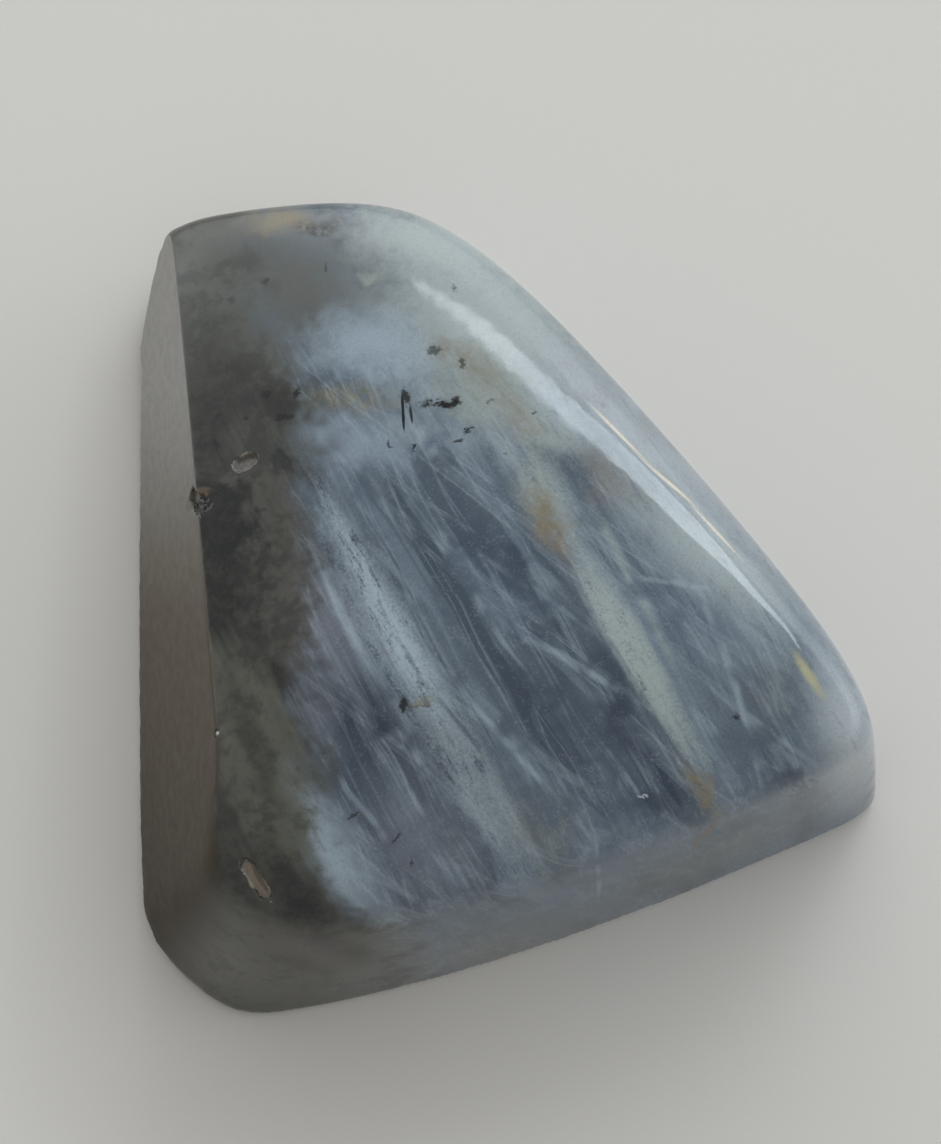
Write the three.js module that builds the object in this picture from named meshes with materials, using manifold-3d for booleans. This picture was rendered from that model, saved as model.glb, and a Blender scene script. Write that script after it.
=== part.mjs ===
// A polished freeform of labradorite, one solid piece of stone, lying on its flat back.
// It has a broad front face, a straight sawn side at -X that meets the front in a crisp edge,
// a long rounded ridge at the upper right, a steep near side and soft corners.
// Millimetres, +Z up, +X to the right of the front face, +Y to its far end.
// The origin is the centre of the stone's box, on the surface it lies on.

import * as THREE from 'three';
import { mergeVertices } from 'three/addons/utils/BufferGeometryUtils.js';
import Module from 'manifold-3d';

// The stone is ground from its heart outwards. Each ground face is a plane: compass is the way it
// faces in plan (degrees from +X towards +Y), lean is how far it faces up (90 is straight up, 0 is an
// upright wall), and reach is its distance from the heart.
const groundFaces = [
  { name: 'front, top', compass: 60, lean: 87, reach: 15 },
  { name: 'front, near part', compass: -75, lean: 76, reach: 19.2 },
  { name: 'front, left part', compass: 140, lean: 73, reach: 15.5 },
  { name: 'front, middle', compass: 88, lean: 77, reach: 15.4 },
  { name: 'front, far part', compass: 88, lean: 62, reach: 24 },
  { name: 'back', compass: 90, lean: -90, reach: 18 },
  { name: 'ridge, far end', compass: 60, lean: 48, reach: 27 },
  { name: 'ridge, middle', compass: 46, lean: 50, reach: 21.8 },
  { name: 'ridge, near end', compass: 34, lean: 44, reach: 24.3 },
  { name: 'right side, far', compass: 66, lean: 2, reach: 39.5 },
  { name: 'right side, middle', compass: 47, lean: 2, reach: 28.6 },
  { name: 'right side', compass: 36, lean: 2, reach: 24 },
  { name: 'right side, near', compass: 14, lean: 11, reach: 35.3 },
  { name: 'far side', compass: 92, lean: -2, reach: 48 },
  { name: 'left side, far end', compass: 170, lean: 4, reach: 46.5 },
  { name: 'near side, right', compass: -63, lean: 2, reach: 40.3 },
  { name: 'near side, middle', compass: -70, lean: 2, reach: 38.5 },
  { name: 'near side, left', compass: -80, lean: 4, reach: 41 },
  { name: 'near left corner', compass: -131, lean: 14, reach: 48.6 },
  { name: 'left side, near end', compass: -160, lean: 12, reach: 46.5 },
];
const roundness = 20; // how tightly neighbouring faces meet: higher is crisper

// The sawn side is cut after the grinding, so its edge stays crisp.
const sawnSide = { compass: 182.5, lean: 21.5, reach: 32.7 };
const heartHeight = 15.5; // the heart's height over the flat back, which is cut here

const meshDetail = 20; // splits of each edge of the starting icosahedron
const meshFlatness = 0.55; // crowds its points towards the sides, where the faces turn tightly
const stockSize = 300; // blocks that stand for what the saw takes away

const facing = ({ compass, lean }) => {
  const turn = THREE.MathUtils.degToRad(compass);
  const rise = THREE.MathUtils.degToRad(lean);
  return new THREE.Vector3(
    Math.cos(rise) * Math.cos(turn),
    Math.cos(rise) * Math.sin(turn),
    Math.sin(rise),
  );
};

// How far the ground surface lies from the heart, in one direction.
const faces = groundFaces.map((face) => ({ normal: facing(face), reach: face.reach }));
function reachAlong(direction) {
  let sum = 0;
  for (const { normal, reach } of faces) {
    const closeness = Math.max(normal.dot(direction), 0) / reach;
    sum += closeness ** roundness;
  }
  return sum ** (-1 / roundness);
}

function groundBody() {
  const geometry = new THREE.IcosahedronGeometry(1, meshDetail);
  geometry.deleteAttribute('normal');
  geometry.deleteAttribute('uv');
  const body = mergeVertices(geometry, 1e-5);
  const position = body.getAttribute('position');
  const point = new THREE.Vector3();
  for (let i = 0; i < position.count; i += 1) {
    point.fromBufferAttribute(position, i);
    point.z *= meshFlatness;
    point.normalize();
    point.multiplyScalar(reachAlong(point));
    position.setXYZ(i, point.x, point.y, point.z);
  }
  return body;
}

// A block whose one face is the saw's plane and which holds all that lies beyond it.
function beyond(cut) {
  const block = new THREE.BoxGeometry(stockSize, stockSize, stockSize);
  block.deleteAttribute('normal');
  block.deleteAttribute('uv');
  const normal = facing(cut);
  const turn = new THREE.Quaternion().setFromUnitVectors(new THREE.Vector3(0, 0, 1), normal);
  block.applyQuaternion(turn);
  const middle = normal.multiplyScalar(cut.reach + stockSize / 2);
  block.translate(middle.x, middle.y, middle.z);
  return mergeVertices(block);
}

const wasm = await Module();
wasm.setup();

function solidFrom(geometry) {
  return new wasm.Manifold(new wasm.Mesh({
    numProp: 3,
    vertProperties: geometry.getAttribute('position').array,
    triVerts: new Uint32Array(geometry.index.array),
  }));
}

function geometryFrom(solid) {
  const { vertProperties, triVerts } = solid.getMesh();
  const geometry = new THREE.BufferGeometry();
  geometry.setAttribute('position', new THREE.BufferAttribute(vertProperties, 3));
  geometry.setIndex(new THREE.BufferAttribute(triVerts, 1));
  return geometry;
}

function stoneGeometry() {
  const flatBack = { compass: 0, lean: -90, reach: heartHeight };
  const sawn = solidFrom(groundBody())
    .subtract(solidFrom(beyond(sawnSide)))
    .subtract(solidFrom(beyond(flatBack)));
  const geometry = geometryFrom(sawn);
  geometry.computeBoundingBox();
  const { min, max } = geometry.boundingBox;
  geometry.translate(-(min.x + max.x) / 2, -(min.y + max.y) / 2, -min.z);
  geometry.computeVertexNormals();
  return geometry;
}

const labradorite = new THREE.MeshStandardMaterial({
  color: 0x59616b,
  roughness: 0.15,
  metalness: 0,
});

const stone = new THREE.Mesh(stoneGeometry(), labradorite);
stone.name = 'polished_labradorite';

const specimen = new THREE.Group();
specimen.add(stone);

export default specimen;
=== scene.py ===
import math

import bpy
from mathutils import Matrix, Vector
from mathutils.geometry import intersect_point_line
from mathutils.kdtree import KDTree
from mathutils.noise import noise as noiseAt


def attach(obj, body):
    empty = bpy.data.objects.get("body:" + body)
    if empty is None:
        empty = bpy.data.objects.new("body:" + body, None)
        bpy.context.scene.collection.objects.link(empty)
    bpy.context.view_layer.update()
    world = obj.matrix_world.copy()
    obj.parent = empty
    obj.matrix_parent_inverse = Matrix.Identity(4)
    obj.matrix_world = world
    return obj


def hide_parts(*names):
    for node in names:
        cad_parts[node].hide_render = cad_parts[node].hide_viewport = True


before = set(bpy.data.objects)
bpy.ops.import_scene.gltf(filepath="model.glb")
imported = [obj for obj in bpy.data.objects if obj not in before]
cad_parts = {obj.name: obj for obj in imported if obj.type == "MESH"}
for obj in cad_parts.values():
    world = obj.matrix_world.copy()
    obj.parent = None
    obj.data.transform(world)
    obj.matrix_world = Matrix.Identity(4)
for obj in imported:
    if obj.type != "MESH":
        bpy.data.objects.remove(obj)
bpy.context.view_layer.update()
bpy.ops.object.select_all(action="DESELECT")
print("frame loaded")

mm = 0.001


# helpers for the mesh

def only(piece):
    bpy.ops.object.select_all(action="DESELECT")
    piece.select_set(True)
    bpy.context.view_layer.objects.active = piece


def pickFaces(piece, wanted):  # selects faces by their middle and normal, and leaves edit mode on
    only(piece)
    if bpy.context.mode != "OBJECT":
        bpy.ops.object.mode_set(mode="OBJECT")
    bpy.ops.object.mode_set(mode="EDIT")
    bpy.ops.mesh.select_mode(type="FACE")
    bpy.ops.mesh.select_all(action="DESELECT")
    bpy.ops.object.mode_set(mode="OBJECT")
    for face in piece.data.polygons:
        face.select = wanted(face.center, face.normal)
    bpy.ops.object.mode_set(mode="EDIT")


def modify(piece, kind, **settings):  # adds a modifier and applies it
    only(piece)
    modifier = piece.modifiers.new(kind.title(), kind)
    for name, value in settings.items():
        setattr(modifier, name, value)
    bpy.ops.object.modifier_apply(modifier=modifier.name)


def weigh(piece, name, weight):  # a vertex group whose weight depends on the place
    group = piece.vertex_groups.new(name=name)
    for vertex in piece.data.vertices:
        group.add([vertex.index], weight(vertex.co), "REPLACE")
    return name


def ease(value, low, high):
    t = min(max((value - low) / (high - low), 0), 1)
    return t * t * (3 - 2 * t)


def compassDirection(compass, lean):  # compass in degrees from +X towards +Y, lean in degrees above the floor
    turn, rise = math.radians(compass), math.radians(lean)
    return Vector((math.cos(rise) * math.cos(turn), math.cos(rise) * math.sin(turn), math.sin(rise)))


# the stone's form

stoneForm = {
    "sawNormal": Vector((-0.929532, -0.040584, 0.366501)),  # the sawn side's plane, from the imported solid
    "sawReach": 38.71 * mm,
    "ballDetail": 7,                             # subdivisions of the starting ball
    "ballSize": (52 * mm, 56 * mm, 24 * mm),
    "ballHeight": 15 * mm,
    "meshSteps": ((0.9 * mm, 2), (0.7 * mm, 2), (0.62 * mm, 4)),  # mesh size and smoothing rounds
    "meshTurn": math.radians(57),                # a rim that runs nearly along the mesh would show steps
    "onCut": 0.02 * mm,                          # how near to a flat cut counts as on it
    "edgeStep": 0.3 * mm,                        # how closely the sharp edges are sampled
    "edgeBand": 1.1 * mm,                        # how far from a sharp edge the mesh is made finer
    "edgeRounds": 3,                             # rounds of smoothing: all over, once the edges are fine
    "softFrom": -24 * mm,                        # the crisp edge softens from here on towards the near end
    "softTo": -36 * mm,
    "rimRounds": 7,                              # the rim that the stone lies on
    "meltRounds": 60,                            # the near end of the crisp edge
    "calmRounds": 15,                            # the wide faces, so that reflections run straight
    "rimWidth": (1 * mm, 3 * mm),                # how far from it the rim's smoothing fades
    "meltWidth": (3 * mm, 9 * mm),
    "meltHeight": 6 * mm,                        # the melting fades from here down to the floor
    "cornerSwell": 1.3 * mm,                     # makes up for what smoothing takes off the near left corner
    "cornerAlong": (32 * mm, 40 * mm),           # where that corner begins, towards the near end
    "cornerAcross": (20 * mm, 34 * mm),          # and towards the sawn side
}


def sawDistance(place):
    return place.dot(stoneForm["sawNormal"]) - stoneForm["sawReach"]


def makeGuide():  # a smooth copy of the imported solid, which the stone is shaped on
    only(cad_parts["polished_labradorite"])
    bpy.ops.object.duplicate()
    guide = bpy.context.view_layer.objects.active
    guide.name = "guide"
    guide.parent = None
    sawNormal = stoneForm["sawNormal"]
    only(guide)
    bpy.ops.object.mode_set(mode="EDIT")
    bpy.ops.mesh.select_all(action="SELECT")
    bpy.ops.mesh.remove_doubles(threshold=0.002 * mm)
    bpy.ops.object.mode_set(mode="OBJECT")
    pickFaces(guide, lambda middle, normal: normal.z < -0.999
              or (abs(sawDistance(middle)) < stoneForm["onCut"] and normal.dot(sawNormal) > 0.999))
    bpy.ops.mesh.split()  # so that the flat cuts stay flat and sharp
    bpy.ops.mesh.select_all(action="INVERT")
    bpy.ops.mesh.subdivide(number_cuts=3, smoothness=1)
    bpy.ops.object.mode_set(mode="OBJECT")
    return guide


guide = makeGuide()
print("guide made:", len(guide.data.polygons), "faces")


def treeOfPlaces(places):  # finds the nearest of many places quickly
    tree = KDTree(len(places))
    for index, place in enumerate(places):
        tree.insert(place, index)
    tree.balance()
    return tree


def makeEdgeTree(wanted):  # the rims of the two flat cuts, where wanted
    only(guide)
    bpy.ops.object.mode_set(mode="EDIT")
    bpy.ops.mesh.select_all(action="DESELECT")
    bpy.ops.mesh.select_mode(type="EDGE")
    bpy.ops.mesh.select_non_manifold()
    bpy.ops.object.mode_set(mode="OBJECT")
    places = []
    for edge in guide.data.edges:
        start, end = (guide.data.vertices[corner].co for corner in edge.vertices)
        if edge.select and wanted((start + end) / 2):
            steps = math.ceil((end - start).length / stoneForm["edgeStep"])
            places += [start.lerp(end, step / steps) for step in range(steps + 1)]
    return treeOfPlaces(places)


crispEdge = makeEdgeTree(lambda place: abs(sawDistance(place)) < stoneForm["onCut"] and place.z > 1 * mm)
baseRim = makeEdgeTree(lambda place: place.z < stoneForm["onCut"])


def away(tree, place):  # how far a place is from an edge
    return tree.find(place)[2]


def crispness(place):  # 1 along the crisp part of the front edge, 0 where it has melted away
    return 1 - ease(place.y, stoneForm["softFrom"], stoneForm["softTo"])


def makeFiner(piece, cuts, wanted):
    pickFaces(piece, wanted)
    bpy.ops.mesh.subdivide(number_cuts=cuts, ngon=False)
    bpy.ops.object.mode_set(mode="OBJECT")


def makeStone():
    bpy.ops.mesh.primitive_ico_sphere_add(subdivisions=stoneForm["ballDetail"], radius=1,
                                          location=(0, 0, stoneForm["ballHeight"]),
                                          rotation=(0, 0, stoneForm["meshTurn"]), scale=stoneForm["ballSize"])
    stone = bpy.context.view_layer.objects.active
    stone.name = "polished_stone"
    bpy.ops.object.transform_apply(location=True, rotation=False, scale=True)
    wrap = {"target": guide, "wrap_method": "NEAREST_SURFACEPOINT"}
    for size, rounds in stoneForm["meshSteps"]:
        modify(stone, "SHRINKWRAP", **wrap)
        modify(stone, "REMESH", mode="VOXEL", voxel_size=size)
        modify(stone, "SHRINKWRAP", **wrap)
        modify(stone, "SMOOTH", factor=0.5, iterations=rounds)
    modify(stone, "SHRINKWRAP", **wrap)
    bpy.ops.object.transform_apply(location=False, rotation=True, scale=False)
    band, rimWidth = stoneForm["edgeBand"], stoneForm["rimWidth"]
    makeFiner(stone, 1, lambda middle, normal: away(baseRim, middle) < band)
    makeFiner(stone, 2, lambda middle, normal: away(crispEdge, middle) < band and crispness(middle) > 0.5)
    modify(stone, "SHRINKWRAP", **wrap)
    modify(stone, "SMOOTH", factor=0.5, iterations=stoneForm["edgeRounds"])
    rim = weigh(stone, "rim", lambda place: 1 - ease(away(baseRim, place), *rimWidth))
    modify(stone, "SMOOTH", factor=0.5, iterations=stoneForm["rimRounds"], vertex_group=rim)
    melt = weigh(stone, "melt",
                 lambda place: (1 - crispness(place)) * ease(place.z, 0, stoneForm["meltHeight"])
                 * (1 - ease(away(crispEdge, place), *stoneForm["meltWidth"])))
    corner = weigh(stone, "corner", lambda place: ease(-place.y, *stoneForm["cornerAlong"])
                   * ease(-place.x, *stoneForm["cornerAcross"]))
    modify(stone, "DISPLACE", strength=-stoneForm["cornerSwell"], mid_level=0, direction="Y",
           vertex_group=corner)
    modify(stone, "SMOOTH", factor=0.5, iterations=stoneForm["meltRounds"], vertex_group=melt)
    calm = weigh(stone, "calm",
                 lambda place: ease(min(away(crispEdge, place), away(baseRim, place)), *rimWidth))
    modify(stone, "SMOOTH", factor=0.5, iterations=stoneForm["calmRounds"], vertex_group=calm)
    stone.vertex_groups.clear()
    only(stone)
    bpy.ops.object.shade_smooth()
    return stone


stone = makeStone()
print("stone shaped:", len(stone.data.polygons), "faces")
bpy.data.objects.remove(guide)

# Small damage, each as a groove between two places in mm, with its half width in mm, the way it goes into the
# stone with its depth in mm, and how rough it is in mm.
chips = {
    "pit in the front":
        (Vector((-27.9, 9.0, 23.3)), Vector((-26.9, 9.4, 23.5)), 0.9, Vector((0.1, 0, -0.4)), 0.4),
    "pit by the near corner":
        (Vector((-25.5, -37.6, 27.4)), Vector((-23.8, -40.3, 26.4)), 0.75, Vector((0.1, 0.2, -0.45)), 0.3),
    "bite in the crisp edge":
        (Vector((-33.3, 5.9, 22.0)), Vector((-32.2, 4.0, 23.2)), 1.0, Vector((0.35, 0, -0.55)), 0.2),
    "nick in the crisp edge":
        (Vector((-28.9, -24.0, 29.4)), Vector((-28.9, -24.3, 29.4)), 0.35, Vector((0.1, 0, -0.2)), 0.05),
}
chipRim = {
    "ragged": 0.45,          # how far the rim strays, as a share of the half width
    "raggedSize": 0.7 * mm,
    "wall": 0.75,            # where the floor ends and the wall rises, as a share of the half width
    "around": 1.5,           # how far round the groove the mesh is made finer, in half widths
    "crumbs": 0.4 * mm,
}


def chipStone():
    def depthShare(place, start, end, halfWidth):  # 1 on the groove's floor, 0 outside its ragged rim
        nearest, share = intersect_point_line(place, start, end)
        nearest = start.lerp(end, min(max(share, 0), 1))
        ragged = chipRim["ragged"] * noiseAt(place / chipRim["raggedSize"]) * halfWidth
        return 1 - ease((place - nearest).length + ragged, chipRim["wall"] * halfWidth, halfWidth)

    crumbs = bpy.data.textures.new("crumbs", "CLOUDS")
    crumbs.noise_scale = chipRim["crumbs"]
    for name, (start, end, halfWidth, way, rough) in chips.items():
        start, end, halfWidth = start * mm, end * mm, halfWidth * mm
        middle, around = (start + end) / 2, (end - start).length / 2 + chipRim["around"] * halfWidth
        fine = away(crispEdge, middle) < stoneForm["edgeBand"]  # the mesh is already fine along the edge
        makeFiner(stone, 1 if fine else 3, lambda place, normal: (place - middle).length < around)
        group = weigh(stone, name, lambda place: depthShare(place, start, end, halfWidth)
                      if (place - middle).length < around else 0)
        for axis, amount in zip("XYZ", way):
            if amount:
                modify(stone, "DISPLACE", strength=amount * mm, mid_level=0, direction=axis,
                       vertex_group=group)
        modify(stone, "DISPLACE", strength=rough * mm, mid_level=0.5, direction="Z", vertex_group=group,
               texture=crumbs, texture_coords="LOCAL")
    stone.vertex_groups.clear()


chipStone()
print("stone chipped:", len(stone.data.polygons), "faces")
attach(stone, "root")
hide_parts("polished_labradorite")


# the paint

class Wire:  # a socket that can be calculated with
    tree = None

    def __init__(self, socket):
        self.socket = socket

    @classmethod
    def node(cls, kind, settings, sockets, output=0):
        made = cls.tree.nodes.new(kind)
        for name, value in settings.items():
            if name == "texture_mapping":
                for part, amount in value.items():
                    setattr(made.texture_mapping, part, amount)
            else:
                setattr(made, name, value)
        for name, value in sockets.items():
            if isinstance(value, Wire):
                cls.tree.links.new(value.socket, made.inputs[name])
            else:
                made.inputs[name].default_value = value
        return cls(made.outputs[output])

    def maths(self, operation, other, turned=False):
        pair = (other, self) if turned else (self, other)
        return Wire.node("ShaderNodeMath", {"operation": operation}, dict(enumerate(pair)))

    def __add__(self, other):
        return self.maths("ADD", other)

    def __sub__(self, other):
        return self.maths("SUBTRACT", other)

    def __rsub__(self, other):
        return self.maths("SUBTRACT", other, turned=True)

    def __mul__(self, other):
        return self.maths("MULTIPLY", other)

    __radd__ = __add__
    __rmul__ = __mul__


def srgb(red, green, blue):  # a colour as seen on a screen, 0 to 255
    return tuple(((part / 255 + 0.055) / 1.055) ** 2.4 for part in (red, green, blue)) + (1,)


def newMaterial(name):
    material = bpy.data.materials.new(name)
    material.use_nodes = True
    Wire.tree = material.node_tree
    Wire.tree.nodes.remove(Wire.tree.nodes["Principled BSDF"])
    return material, Wire.tree.nodes["Material Output"]


def smooth(value, low, high, most=1):  # 0 at low and most at high, eased
    return Wire.node("ShaderNodeMapRange", {"interpolation_type": "SMOOTHSTEP", "clamp": False},
                     {"Value": value, "From Min": low, "From Max": high, "To Max": most})


def vectorMaths(operation, *values, output=0):
    return Wire.node("ShaderNodeVectorMath", {"operation": operation}, dict(enumerate(values)), output)


def placed(vector, at=(0, 0, 0), turn=(0, 0, 0), scale=(1, 1, 1)):
    return Wire.node("ShaderNodeMapping", {}, {"Vector": vector, "Location": at, "Rotation": turn,
                                               "Scale": scale})


def noise(vector, scale, detail=3, roughness=0.55, output=0):
    return Wire.node("ShaderNodeTexNoise", {}, {"Vector": vector, "Scale": scale, "Detail": detail,
                                               "Roughness": roughness}, output)


def swayed(vector, scale, amount, detail):  # pushed about by noise, so that what follows it isn't straight
    push = vectorMaths("SUBTRACT", noise(vector, scale, detail, output=1), (0.5, 0.5, 0.5))
    return vectorMaths("MULTIPLY_ADD", push, (amount, amount, amount), vector)


def mixed(mask, under, over):
    return Wire.node("ShaderNodeMix", {"data_type": "RGBA"}, {0: mask, 6: under, 7: over}, 2)


picture = {  # the camera's view, in the pixels of a picture of 941 x 1144
    "size": (941, 1144),
    "target": Vector((-2.72 * mm, -1.61 * mm, 18 * mm)),
    "lean": 68,
    "distance": 300 * mm,
    "pixel": 0.11 * mm,      # the size of a pixel at the target
}


def planePlace(place):  # mm across and up the picture, and mm above the floor
    rise = math.radians(picture["lean"])
    up = place.y * math.sin(rise) + place.z * math.cos(rise)
    return Vector((place.x, up, place.z)) / mm


def onStone(x, y):  # where a pixel of the picture lies on the stone
    back = compassDirection(-90, picture["lean"])
    right, up = Vector((1, 0, 0)), back.cross(Vector((1, 0, 0)))
    eye = picture["target"] + back * picture["distance"]
    width, height = picture["size"]
    aim = picture["target"] + (right * (x - width / 2) - up * (y - height / 2)) * picture["pixel"]
    hit, place, normal, face = stone.ray_cast(eye, (aim - eye).normalized())
    if not hit:
        raise ValueError(f"pixel {x}, {y} isn't on the stone")
    return planePlace(place)


colours = {
    "slate deep": srgb(44, 58, 76),
    "slate dark": srgb(64, 77, 91),
    "slate": srgb(104, 119, 134),
    "slate pale": srgb(144, 157, 168),
    "lilac": srgb(116, 121, 131),
    "lilac dark": srgb(49, 57, 71),
    "blue": srgb(172, 190, 204),
    "blue grey": srgb(144, 157, 166),
    "green grey": srgb(172, 183, 183),
    "mid grey": srgb(95, 97, 90),
    "vein blue": srgb(172, 187, 196),
    "vein green": srgb(170, 182, 179),
    "tan grey": srgb(153, 161, 155),
    "tan": srgb(134, 125, 99),
    "rust": srgb(120, 100, 76),
    "brown grey": srgb(112, 108, 102),
    "taupe": srgb(78, 75, 69),
    "olive dark": srgb(20, 21, 16),
    "olive": srgb(29, 30, 24),
    "olive grey": srgb(88, 89, 80),
    "olive pale": srgb(93, 93, 81),
    # haze: the olive end's own pale haze, and also the painted sheen on the near left corner
    "haze": srgb(98, 97, 89),
    "olive ground": srgb(62, 62, 54),
    "tan olive": srgb(122, 118, 92),
    # tip colours: painted reflection on the side beyond the ridge and on the right tip
    "near tip": srgb(184, 193, 198),
    "tip": srgb(160, 168, 172),
    "black": srgb(10, 13, 10),
    "chip": srgb(146, 134, 118),
    "chip dark": srgb(100, 90, 78),
    "chip grey": srgb(112, 108, 101),
    "white": srgb(223, 231, 234),
    # the sawn side's colours are painted reflection and shade: light grey far off, brown to dark brown
    # towards the near end
    "sawn far painted reflection": srgb(168, 166, 161),
    "sawn middle painted shade": srgb(98, 89, 76),
    "sawn near painted shade": srgb(58, 49, 36),
    # band colours: painted reflection on the steep near band
    "band": srgb(104, 111, 114),
    "band pale": srgb(116, 121, 122),
    # warm: the painted reflection of warm light along the ridge
    "warm": srgb(236, 226, 200),
    "yellow": srgb(198, 194, 150),
}

# Each mark: its name, colour, middle in the picture's pixels, half length and half width in pixels, turn in
# degrees, the kind of edge it has, and how strong it is.
fields = [
    ("upper pale field", "green grey", (475, 325), (235, 150), -40, "soft", 1),
    ("top", "green grey", (430, 240), (170, 70), -15, "soft", 0.9),
    ("upper middle", "mid grey", (296, 285), (135, 105), -35, "soft", 0.9),
    ("upper blue patch", "blue", (370, 345), (110, 62), -10, "soft", 0.7),
    ("lower blue patch", "blue", (360, 440), (95, 52), -10, "soft", 0.56),
    ("blue tongue", "blue grey", (430, 440), (90, 34), -10, "patchy", 0.8),
    ("tan grey field", "tan grey", (490, 395), (95, 60), -50, "soft", 0.9),
    ("tan band", "tan olive", (352, 398), (80, 26), 0, "blotched", 0.9),
    ("tan spot", "tan", (525, 418), (48, 28), -50, "blotched", 0.75),
    ("tan spot by the ridge", "tan", (462, 358), (66, 26), -40, "blotched", 0.75),
    ("right field", "slate", (710, 640), (160, 95), -50, "soft", 0.8),
    ("right upper field", "blue grey", (640, 530), (130, 50), -40, "soft", 0.35),
    ("beside the ridge", "green grey", (560, 432), (90, 42), -40, "soft", 0.68),
    ("brown field", "brown grey", (612, 478), (75, 34), -40, "soft", 0.9),
    # painted reflection: a pale veil inside the ridge's highlight, where it mirrors the bright window side
    ("ridge veil", "green grey", (708, 556), (190, 56), -45, "even", 1),
    ("right green tinge", "olive grey", (775, 690), (45, 60), 10, "patchy", 0.5),
    ("dark wedge", "slate deep", (468, 520), (110, 36), -55, "broad", 0.7),
    ("dark middle", "slate deep", (600, 715), (150, 66), -50, "broad", 0.65),
    ("dark foot", "slate deep", (640, 800), (100, 40), 10, "soft", 0.5),
    ("left of vein 1", "lilac dark", (440, 800), (160, 30), -60, "broad", 0.7),
    ("lilac dark", "lilac dark", (365, 715), (125, 46), -40, "soft", 0.95),
    ("lilac", "lilac", (325, 620), (110, 60), -60, "soft", 0.9),
    ("lilac, left edge", "lilac", (318, 715), (90, 32), -70, "soft", 0.6),
    ("low lilac", "lilac", (420, 850), (110, 80), -55, "soft", 0.7),
    ("low pale blue", "blue grey", (340, 850), (140, 40), -60, "soft", 0.75),
    ("low pale blue, left edge", "vein blue", (335, 855), (110, 24), -60, "patchy", 0.55),
    ("low green grey", "olive grey", (390, 945), (55, 65), 0, "soft", 0.7),
    ("between the veins' feet", "olive grey", (545, 830), (75, 50), -50, "patchy", 0.7),
    ("left top grey", "mid grey", (200, 285), (130, 75), -80, "even", 0.9),
    ("left top dark", "olive", (205, 335), (95, 46), -45, "patchy", 0.7),
    ("left olive", "olive", (222, 425), (110, 90), -80, "soft", 0.9),
    ("left olive, pale spots", "olive grey", (262, 350), (85, 42), -30, "soft", 0.6),
    ("taupe", "taupe", (262, 550), (160, 70), -80, "broad", 0.9),
    ("left dark lower", "olive", (225, 590), (120, 62), -85, "soft", 1),
    ("left dark smooth", "olive dark", (220, 525), (54, 54), -60, "broad", 1),
    ("left olive low", "olive pale", (258, 770), (155, 56), -70, "broad", 0.9),
    ("left low taupe", "taupe", (310, 940), (95, 60), -35, "soft", 0.9),
    ("dark streak, upper", "olive dark", (252, 735), (110, 22), -65, "patchy", 0.6),
    ("dark streak, lower", "olive dark", (292, 885), (105, 32), -60, "soft", 0.85),
    ("dark streak, foot", "olive dark", (350, 950), (60, 18), -35, "soft", 0.6),
    ("dark streak across", "olive dark", (275, 678), (75, 18), -30, "soft", 0.6),
    ("left of the seam", "olive ground", (266, 436), (58, 44), 87, "plain", 0.5),
    ("dark blob 1", "olive dark", (284, 401), (38, 34), 0, "blotched", 1),
    ("smudge beside the chip", "olive dark", (278, 463), (22, 14), -10, "broad", 0.7),
    # painted sheen on the rounded near left corner
    ("low left corner", "haze", (340, 980), (110, 46), 0, "even", 0.5),
    ("corner haze", "haze", (225, 960), (110, 80), -30, "even", 0.9),
    ("tan, top edge", "tan", (284, 222), (70, 26), 0, "soft", 1),
    ("olive, top edge", "olive dark", (318, 226), (36, 18), 10, "blotched", 0.9),
    ("pale mark", "tan grey", (367, 272), (14, 12), 40, "soft", 0.9),
    # painted reflection: the near band mirrors the pale floor and room, and its left part is lighter to lift
    # its shade
    ("near band", "band", (705, 862), (190, 44), 25, "even", 0.9),
    ("near band, left", "band pale", (495, 952), (240, 60), 12, "even", 1),
    # painted reflection: the side beyond the ridge and the right tip are paler where they mirror the bright
    # walls
    ("outer side", "tip", (640, 432), (310, 44), -45, "even", 0.95),
    ("right tip", "near tip", (846, 730), (120, 52), -75, "even", 1),
]
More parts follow.
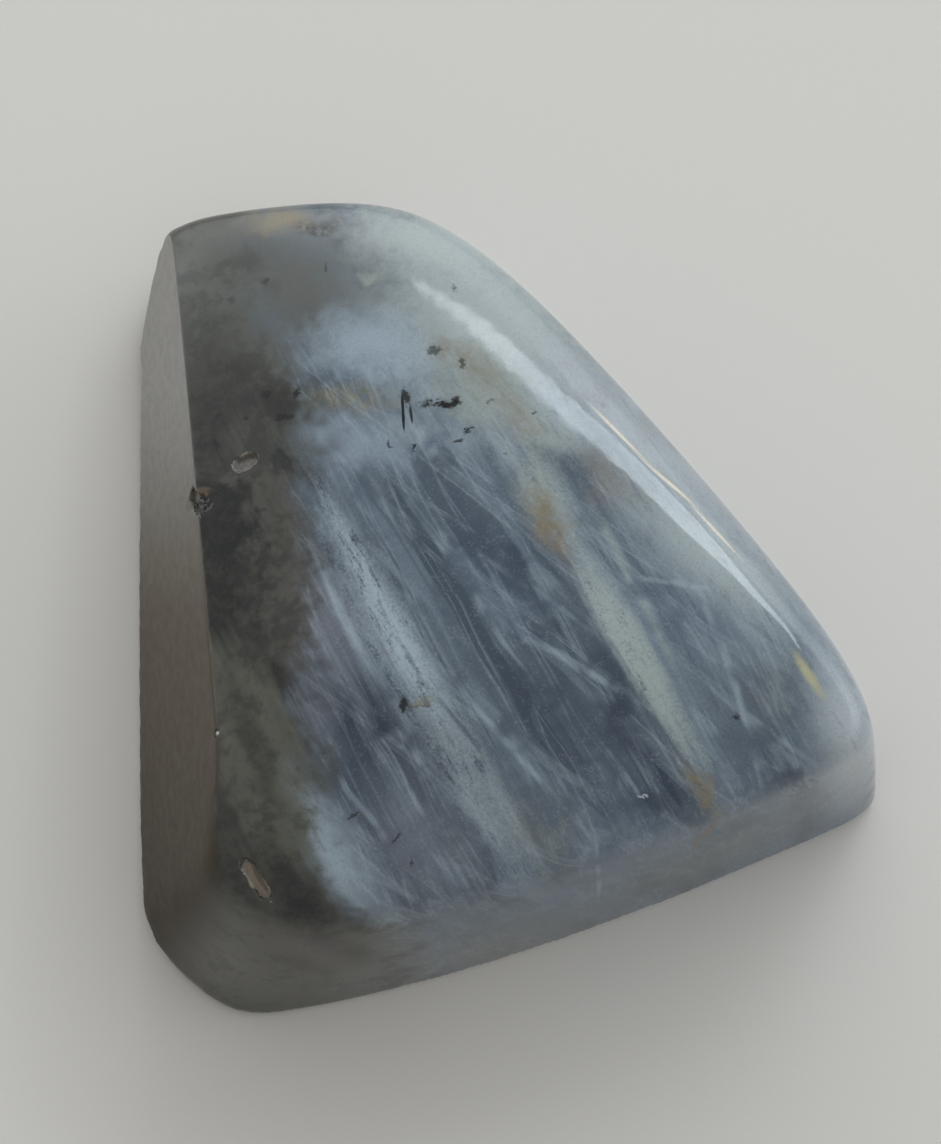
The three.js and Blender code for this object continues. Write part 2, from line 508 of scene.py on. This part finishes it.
lines = [
    ("vein 1, haze", "slate pale", (400, 650), (290, 48), -60, "streaky", 0.7),
    ("vein 1, head", "vein blue", (350, 548), (95, 16), -60, "streaky", 0.7),
    ("vein 1, middle", "vein blue", (404, 642), (135, 29), -60, "streaky", 1),
    ("vein 1, foot", "vein green", (478, 795), (175, 20), -60, "streaky", 0.45),
    ("vein 1, right strand", "vein green", (492, 778), (170, 13), -60, "streaky", 0.4),
    ("vein 1, left strand", "vein blue", (342, 610), (100, 8), -60, "thread", 0.6),
    ("vein 2, haze", "slate pale", (640, 640), (210, 44), -60, "streaky", 0.5),
    ("vein 2, head", "vein green", (540, 490), (90, 34), -60, "vein", 0.7),
    ("vein 2, tan", "tan", (548, 522), (66, 32), -60, "blotched", 0.9),
    ("vein 2, rust", "rust", (556, 534), (42, 18), -60, "blotched", 0.5),
    ("vein 2, body", "vein green", (632, 648), (160, 25), -60, "vein", 1),
    ("vein 2, core", "vein green", (646, 676), (140, 13), -60, "vein", 0.8),
    ("vein 2, foot", "tan", (703, 790), (56, 18), -60, "blotched", 0.95),
    ("crack at the foot", "rust", (705, 833), (26, 3), 58, "crack", 0.7),
    ("right strand 1", "vein green", (640, 600), (190, 9), -65, "thread", 0.5),
    ("right strand 2", "vein blue", (728, 670), (125, 6), -70, "thread", 0.45),
    ("across 1", "vein blue", (530, 590), (100, 5), -35, "thread", 0.4),
    ("across 2", "vein blue", (585, 672), (100, 6), -30, "thread", 0.5),
    ("across 3", "vein blue", (765, 728), (90, 5), -35, "thread", 0.35),
    ("right strand 3", "vein blue", (750, 738), (75, 5), -75, "thread", 0.5),
    ("right strand 4", "slate pale", (798, 668), (60, 5), -62, "thread", 0.5),
    ("arc", "vein blue", (676, 584), (62, 5), -8, "thread", 0.5),
    ("fine line 1", "vein blue", (480, 605), (160, 4), -55, "thread", 0.5),
    ("fine line 2", "vein blue", (515, 752), (150, 5), -50, "thread", 0.5),
    ("fine line 3", "vein blue", (622, 775), (80, 4), -55, "thread", 0.45),
    ("fine line 4", "vein blue", (598, 872), (60, 4), -80, "thread", 0.4),
    ("fine line 5", "vein blue", (358, 800), (120, 6), -50, "thread", 0.45),
    ("fine line 6", "vein blue", (430, 820), (130, 4), -60, "thread", 0.4),
    ("fine line 7", "slate pale", (385, 560), (120, 6), -45, "thread", 0.45),
    ("dark line 1", "slate deep", (540, 560), (120, 5), -50, "thread", 0.6),
    ("dark line 2", "slate deep", (470, 735), (100, 4), -50, "thread", 0.6),
    ("dark line 3", "slate deep", (690, 665), (110, 5), -60, "thread", 0.5),
    # painted reflection: thin warm lines of light along the ridge
    ("warm line, far", "warm", (620, 430), (66, 3.2), -45, "plain", 0.85),
    ("warm line, middle", "warm", (668, 479), (66, 3.2), -46, "plain", 0.85),
    ("warm line, near", "warm", (713, 529), (60, 2.8), -50, "plain", 0.75),
    ("yellow crescent", "yellow", (810, 677), (44, 8), -56, "plain", 0.8),
]
specks = [
    ("black dash 1", "black", (403, 412), (26, 2), -86, "crack", 1),
    ("black dash 2", "black", (405, 395), (11, 5), -70, "crumbled", 0.9),
    ("black dash 3", "black", (411, 414), (12, 1.8), -82, "crack", 0.9),
    ("black bar", "black", (440, 404), (27, 7), 0, "crumbled", 1),
    ("black bar end", "black", (453, 402), (11, 7), 60, "crumbled", 0.9),
    ("black spot 1", "black", (468, 430), (7, 4), 45, "crumbled", 0.9),
    ("black spot 2", "black", (459, 441), (6, 2.4), 15, "speck", 0.8),
    ("black spot 3", "black", (414, 448), (2.2, 7), -10, "speck", 0.9),
    ("black spot 4", "black", (389, 445), (2.6, 6), 30, "speck", 0.7),
    ("black spot 5", "black", (434, 350), (10, 7), 0, "crumbled", 0.7),
    ("black spot 6", "black", (462, 362), (4, 8), 0, "crumbled", 0.7),
    ("black spot 7", "black", (454, 288), (5, 5), 40, "crumbled", 0.6),
    ("black spot 8", "black", (326, 267), (1.8, 7), 10, "speck", 0.6),
    ("black spot 9", "black", (266, 394), (7, 5), -20, "crumbled", 1),
    ("black spot 10", "black", (296, 393), (5, 8), -20, "crumbled", 1),
    ("black spot 11", "black", (283, 417), (13, 5), 0, "crumbled", 1),
    ("black spot 12", "black", (218, 415), (5, 3), 20, "speck", 0.6),
    ("black spot 13", "black", (246, 418), (4, 3), 40, "speck", 0.7),
    ("black spot 14", "black", (216, 443), (7, 2.4), -40, "speck", 0.6),
    ("black spot 15", "black", (266, 281), (7, 4), 30, "crumbled", 0.6),
    ("black spot 16", "black", (232, 300), (5, 6), 0, "crumbled", 0.5),
    ("dark speck in vein 1", "black", (404, 705), (7, 9), 0, "crumbled", 0.9),
    ("crack in vein 1", "black", (418, 706), (15, 1.3), 0, "speck", 0.6),
    ("crack stain", "tan", (420, 703), (16, 6), 10, "crumbled", 0.5),
    ("dash 1", "black", (353, 816), (8, 1.8), 25, "speck", 0.7),
    ("dash 2", "black", (396, 838), (7, 1.8), 40, "speck", 0.7),
    ("dash 3", "black", (412, 863), (1.6, 7), 10, "speck", 0.6),
    ("speck 1", "black", (736, 717), (4, 4), 0, "crumbled", 0.8),
    ("speck 2", "black", (534, 413), (3, 2), 0, "speck", 0.7),
    ("speck 3", "black", (505, 453), (2, 2), 0, "speck", 0.9),
    ("speck 4", "black", (490, 400), (5, 3), 30, "crumbled", 0.5),
    ("pale dash", "white", (642, 796), (7, 1.6), 0, "crumbled", 0.5),
    ("stain by the bite", "rust", (201, 492), (13, 6), 10, "crumbled", 0.5),
]
chipMarks = [
    ("pit in the front", "chip grey", (245, 462), (15, 10), 25, "chipped", 0.85),
    ("pit in the front, shade", "chip dark", (247, 458), (11, 4), 25, "chipped", 0.5),
    ("pit by the near corner", "chip", (257, 881), (26, 8), -57, "chipped", 0.9),
    ("pit by the near corner, shade", "chip dark", (260, 878), (18, 3), -60, "chipped", 0.6),
    ("bite in the crisp edge", "chip grey", (193, 500), (14, 7), 60, "chipped", 0.65),
    ("bite in the crisp edge, scratch", "haze", (198, 511), (10, 2), -60, "chipped", 0.7),
    ("nick in the crisp edge", "white", (217, 733), (3.5, 2), 40, "chipped", 0.9),
]

# The paint is made in zones up the picture, so that a place on the stone only has its own zone's marks.
zoneEnds = (-100, -24, -8, 8, 24, 100)  # mm

# Places are in mm: across and up the picture, or above the floor.
paint = {
    "pixel": 0.1045,             # across a pixel of the picture, on the front face
    "gloss": 0.06,               # roughness
    "mattness": 0.35,            # roughness of the sawn side
    "relief": 0.15,
    "frontHeight": (8, 14),      # the small marks begin above the floor
    "nearSideHeight": (19, 26),  # the steep near side ends and the front begins
    "nearSideStripes": 0.3,      # how much of the stripes the near side has
    "warmAcross": (-15.5, -23),  # the olive end, which has no stripes
    "sawnReflectionUp": (29, -3),       # painted reflection on the sawn side: it turns from light grey, the pale floor it mirrors, to brown painted shade
    "sawnShadeUp": (4, -40),      # and to dark brown painted shade towards the near end
    "haze": 0.15,                # how strong: the pale haze of the olive end
    "murk": 0.4,                 # its dark patches
    "pits": 0.22,                # the fine dark grain all over
    "dust": 0.12,                # the fine pale grain of the striped part
    # Noise drawn out along the stone's layers: turn in degrees, scale along and across them, and seed.
    "broad": (58, 0.01, 0.16, 3),
    "fine": (61, 0.012, 0.6, 8),
    "fleck": (58, 0.25, 1.2, 5),
    "cross": (38, 0.012, 0.3, 4),
    # Pale veils along the layers: which noise, at what value, how wide they fade, and how strong they are.
    "veils": (("broad", 0.5, 0.2, 0.16), ("fine", 0.5, 0.16, 0.1), ("broad", 0.42, 0.1, 0.12),
              ("cross", 0.5, 0.12, 0.15)),
}


def makePaint():
    rise = math.radians(picture["lean"])
    pixel = paint["pixel"]
    world = Wire.node("ShaderNodeTexCoord", {}, {}, "Object")
    turnedPlace = placed(world, turn=(rise - math.pi / 2, 0, 0), scale=(1 / mm,) * 3)
    flat = Wire.node("ShaderNodeSeparateXYZ", {}, {0: turnedPlace})
    across, up = flat, Wire(flat.socket.node.outputs[1])
    high = Wire(Wire.node("ShaderNodeSeparateXYZ", {}, {0: world}).socket.node.outputs[2]) * (1 / mm)
    plane = Wire.node("ShaderNodeCombineXYZ", {}, {0: across, 1: up, 2: high})
    wavy = swayed(plane, 0.06, 2, 1)
    drawn = swayed(wavy, 0.7, 0.15, 1)
    ragged = swayed(swayed(wavy, 0.2, 3.5, 1), 0.9, 1.2, 2)
    nibbled = swayed(plane, 2.4, 0.8, 1)

    def layers(turn, alongScale, acrossScale, seed):  # noise is drawn out along the stone's layers
        turned = placed(drawn, turn=(0, 0, math.radians(turn)))
        return placed(turned, scale=(alongScale, acrossScale, 0.3 * acrossScale), at=(seed, seed, seed))

    def veil(value, start, fade):  # a band with one crisp side, which fades away on the other
        return smooth(value, start - 0.02, start) * smooth(value, start + fade, start)

    broad = noise(layers(*paint["broad"]), 1, 2, 0.5)
    fine = noise(layers(*paint["fine"]), 1, 2, 0.6)
    fleck = noise(layers(*paint["fleck"]), 1, 3, 0.7)
    cross = noise(layers(*paint["cross"]), 1, 1, 0.5)
    cloud = noise(plane, 0.2, 2, 0.6)
    mottle = noise(plane, 0.7, 3, 0.65)
    grain = noise(plane, 3.5, 2, 0.75)
    sawn = vectorMaths("DOT_PRODUCT", world, stoneForm["sawNormal"], output="Value")
    sawReach = stoneForm["sawReach"] / mm
    fading = smooth(up, -18, -38) * 6 + 0.25  # the sawn side's colour, with its painted shade, runs out into the round near corner
    sawn = smooth(sawn * (1 / mm), sawReach - fading, sawReach - 0.05)
    front = smooth(high, *paint["frontHeight"])
    warm = across + up * 0.035 - smooth(up, -16, -42) * 10 + (cloud - 0.5) * 10 + (mottle - 0.5) * 3
    warm = smooth(warm + smooth(up, 22, 36) * 7, *paint["warmAcross"])
    upper = smooth(high + smooth(up, -15, 0) * 20, *paint["nearSideHeight"])  # all but the steep near side
    upper = upper * (1 - paint["nearSideStripes"]) + paint["nearSideStripes"]
    striped = (1 - warm) * smooth(up, 34, 24) * upper

    kinds = {  # the space a mark lies in, what frays its edge, how wide that edge is, what breaks it up
        "broad": (ragged, (fine - 0.5) * 0.7 + (mottle - 0.5) * 0.4, 0.35, 1),
        "soft": (ragged, (mottle - 0.5) * 0.5, 0.8, 1),
        "patchy": (ragged, (cloud - 0.5) * 1.2, 0.7, smooth(cloud, 0.3, 0.55)),
        "blotched": (ragged, (mottle - 0.5) * 0.9, 0.6, smooth(mottle + (grain - 0.5) * 0.3, 0.25, 0.65)),
        "even": (wavy, (mottle - 0.5) * 0.25, 0.85, 1),
        "streaky": (drawn, (fine - 0.5) * 0.9 + (fleck - 0.5) * 0.9, 0.7,
                    smooth(fleck + (fine - 0.5) * 0.4 + (grain - 0.5) * 0.3, 0.25, 0.6)),
        "vein": (drawn, (fine - 0.5) * 0.9 + (fleck - 0.5) * 0.7, 0.6,
                 smooth(fleck + (grain - 0.5) * 0.4, 0.1, 0.6)),
        "thread": (drawn, (fine - 0.5) * 0.8, 0.7, smooth(cloud + (fine - 0.5) * 0.5, 0.3, 0.6)),
        "plain": (wavy, mottle * 0.2, 0.6, front),
        "speck": (nibbled, (mottle - 0.5) * 0.8, 0.4, front),
        "crack": (plane, (mottle - 0.5) * 0.5, 0.3, front),
        "crumbled": (nibbled, (mottle - 0.5) * 2.5, 0.5, front),
        "chipped": (plane, (mottle - 0.5) * 1.2, 0.12, front),
    }
    edges, strengths = {}, {}

    def kept(store, key, make):  # shared by all marks that need the same
        if key not in store:
            store[key] = make()
        return store[key]

    def inside(middle, size, turn, kind, strength, zone=zoneEnds):  # a mark's mask, or None outside the zone
        space, fray, edge, broken = kinds[kind]
        spot = onStone(*middle)
        turn = math.radians(turn)
        long, wide = size[0] * pixel * 1.15, size[1] * pixel * 1.15
        extent = 3 + math.hypot(long * math.sin(turn), wide * math.cos(turn))
        if spot.y + extent < zone[0] or spot.y - extent > zone[-1]:
            return None
        place = {"vector_type": "TEXTURE", "translation": (spot.x, spot.y, 0), "rotation": (0, 0, turn),
                 "scale": (long, wide, 10000)}
        ball = Wire.node("ShaderNodeTexGradient", {"gradient_type": "SPHERICAL", "texture_mapping": place},
                         {"Vector": space}, "Fac")
        outer = kept(edges, kind, lambda: (fray + 0.15).maths("MAXIMUM", 0.01))
        inner = kept(edges, (kind, edge), lambda: outer + edge)
        most = kept(strengths, (kind, strength), lambda: broken * strength)
        return smooth(ball, outer, inner, most)

    def add(marks, colour, zone):  # only the marks that reach into a zone
        for name, tone, *mark in marks:
            mask = inside(*mark, zone)
            if mask:
                colour = mixed(mask, colour, colours[tone])
        return colour

    ground = mixed(smooth(broad, 0.3, 0.7), colours["slate dark"], colours["slate"])
    ground = mixed(warm, ground, colours["olive ground"])
    shown = striped * smooth(cloud, 0.3, 0.6)
    layered = {"broad": broad, "fine": fine, "cross": cross}
    veils = [veil(layered[name], start, fade) * shown * strength
             for name, start, fade, strength in paint["veils"]]
    veils.append(smooth((fine - 0.56).maths("ABSOLUTE", 0), 0.03, 0) * shown * 0.25)
    veils.append(smooth((cross - 0.58).maths("ABSOLUTE", 0), 0.025, 0) * shown * 0.25)
    dark = smooth(fleck, 0.48, 0.25) * 0.3 * striped
    haze = smooth(mottle + (grain - 0.5) * 0.4, 0.4, 0.7) * warm * paint["haze"]
    murk = smooth(cloud + (mottle - 0.5) * 0.9, 0.55, 0.3) * warm * paint["murk"]
    clustered = grain + (mottle - 0.5) * 0.5
    pits = smooth(clustered, 0.5, 0.25) * paint["pits"]
    dust = smooth(clustered, 0.54, 0.8) * paint["dust"] * striped
    # painted reflection and shade on the sawn side, mixed with its own taupe mottling
    sawnToneAndPaintedReflection = mixed(smooth(up, *paint["sawnReflectionUp"]), colours["sawn far painted reflection"], colours["sawn middle painted shade"])
    sawnToneAndPaintedReflection = mixed(smooth(up, *paint["sawnShadeUp"]), sawnToneAndPaintedReflection, colours["sawn near painted shade"])
    sawnToneAndPaintedReflection = mixed(smooth(mottle, 0.4, 0.7) * 0.12, sawnToneAndPaintedReflection, colours["taupe"])
    roughness = smooth(mottle, 0.3, 0.7) * 0.03 + paint["gloss"]
    for name, tone, *mark in chipMarks:
        roughness += inside(*mark) * 0.5
    relief = Wire.node("ShaderNodeBump", {}, {"Strength": paint["relief"], "Distance": 0.05 * mm,
                                              "Height": noise(plane, 0.5, 1, 0.5)})
    surface = None
    for zone in zip(zoneEnds, zoneEnds[1:]):
        colour = add(fields, ground, zone)
        for mask in veils:
            colour = mixed(mask, colour, colours["vein blue"])
        colour = mixed(dark, colour, colours["slate dark"])
        colour = mixed(haze, colour, colours["haze"])
        colour = mixed(murk, colour, colours["olive dark"])
        colour = add(lines, colour, zone)
        colour = mixed(pits, colour, colours["slate dark"])
        colour = mixed(dust, colour, colours["white"])
        colour = add(chipMarks, add(specks, colour, zone), zone)
        painted = Wire.node("ShaderNodeBsdfPrincipled", {}, {
            "Base Color": colour, "Roughness": roughness, "Normal": relief, "IOR": 1.56})
        if surface:
            above = up.maths("GREATER_THAN", zone[0])
            painted = Wire.node("ShaderNodeMixShader", {}, {0: above, 1: surface, 2: painted})
        surface = painted
    bite = {name: mark for name, tone, *mark in chipMarks}["bite in the crisp edge"]
    matt = Wire.node("ShaderNodeBsdfPrincipled", {}, {
        "Base Color": mixed(inside(*bite), sawnToneAndPaintedReflection, colours["chip grey"]),
        "Roughness": smooth(mottle, 0.3, 0.7) * 0.1 + paint["mattness"], "Normal": relief, "IOR": 1.2})
    return Wire.node("ShaderNodeMixShader", {}, {0: sawn, 1: surface, 2: matt})


stoneMaterial, output = newMaterial("polished labradorite")
Wire.tree.links.new(makePaint().socket, output.inputs["Surface"])
stone.data.materials.clear()
stone.data.materials.append(stoneMaterial)
print("stone painted:", len(Wire.tree.nodes), "nodes")


# floor, light and camera

studio = {
    "floorSize": 6,
    "floorColour": srgb(238, 234, 228),
    "skyColour": (0.97, 0.99, 1, 1),
    "ceiling": 0.42,       # what the front mirrors is dim
    "windowCompass": 62,
    "wallBright": 1.5,     # how much brighter the wall is at the window's sill than the ceiling
    "wallFade": 0.7,       # and how much of that is lost down to the floor
    # The window's outline: compass, middle lean and height in degrees. The ridge turns ever faster to the
    # right, so the window widens that way to show as an even strip, and ends in a point.
    "windowShape": ((105, 33.2, 1.4), (99, 34.8, 1.7), (95, 35.4, 2.4), (90, 35.7, 3.4), (86, 36, 4.9),
                    (82, 37, 6.9), (78, 37.4, 10), (74, 38, 14), (69, 38.8, 18), (63, 39.3, 19),
                    (57, 38.6, 15), (50, 39.5, 9), (43, 42, 6.5), (32, 48, 4)),
    "windowStep": 3,       # degrees across each of the soft boxes that it is made of
    "windowAway": 1.5,
    "windowColour": (0.86, 0.94, 1),
    "windowBright": 4.4,
}


def makeFloor():
    bpy.ops.mesh.primitive_plane_add(size=studio["floorSize"], location=(0, 0, 0))
    floor = bpy.context.view_layer.objects.active
    floor.name = "floor"
    material, output = newMaterial("plain pale floor")
    painted = Wire.node("ShaderNodeBsdfPrincipled", {},
                        {"Base Color": studio["floorColour"], "Roughness": 0.9})
    Wire.tree.links.new(painted.socket, output.inputs["Surface"])
    floor.data.materials.append(material)


def makePanel(compass, lean, width, height):  # a soft box that faces the stone, its size in degrees
    distance = studio["windowAway"]
    width = 2 * distance * math.cos(math.radians(lean)) * math.tan(math.radians(width / 2))
    height = 2 * distance * math.tan(math.radians(height / 2))
    way = compassDirection(compass, lean)
    bpy.ops.object.light_add(type="AREA", location=way * distance)
    panel = bpy.context.view_layer.objects.active
    panel.name = "window"
    panel.rotation_euler = way.to_track_quat("Z", "Y").to_euler()
    panel.data.shape = "RECTANGLE"
    panel.data.size = width
    panel.data.size_y = height
    panel.data.energy = studio["windowBright"] * math.pi * width * height
    panel.data.color = studio["windowColour"]


def makeSurroundings():  # a dim ceiling, and walls that are brighter round the window
    world = bpy.data.worlds.new("studio")
    bpy.context.scene.world = world
    world.use_nodes = True
    Wire.tree = world.node_tree
    direction = Wire.node("ShaderNodeTexCoord", {}, {}, "Generated")
    rise = Wire(Wire.node("ShaderNodeSeparateXYZ", {}, {0: direction}).socket.node.outputs[2])
    windowWay = compassDirection(studio["windowCompass"], 0)
    towards = vectorMaths("DOT_PRODUCT", direction, windowWay, output="Value")
    wall = smooth(rise, 0.62, 0.4) * studio["wallBright"] - smooth(rise, 0.4, 0) * studio["wallFade"]
    background = Wire.tree.nodes["Background"]
    background.inputs["Color"].default_value = studio["skyColour"]
    strength = smooth(towards, -0.3, 0.7) * wall + studio["ceiling"]
    Wire.tree.links.new(strength.socket, background.inputs["Strength"])


def makeLights():
    step, shape = studio["windowStep"], studio["windowShape"]
    compass = shape[0][0] - step / 2
    while compass > shape[-1][0]:
        for (left, leanLeft, highLeft), (right, leanRight, highRight) in zip(shape, shape[1:]):
            if right <= compass <= left:
                share = (left - compass) / (left - right)
                makePanel(compass, leanLeft + (leanRight - leanLeft) * share, step,
                          highLeft + (highRight - highLeft) * share)
                break
        compass -= step


def makeCamera():
    back = compassDirection(-90, picture["lean"])
    bpy.ops.object.camera_add(location=picture["target"] + back * picture["distance"])
    camera = bpy.context.view_layer.objects.active
    camera.rotation_euler = back.to_track_quat("Z", "Y").to_euler()
    tall = picture["size"][1] * picture["pixel"]  # of what the camera sees at the target
    camera.data.sensor_width = 36
    camera.data.lens = camera.data.sensor_width * picture["distance"] / tall
    camera.data.clip_start = 0.01
    bpy.context.scene.camera = camera


makeFloor()
makeSurroundings()
makeLights()
makeCamera()
bpy.context.scene.view_settings.view_transform = "Standard"
print("studio ready")
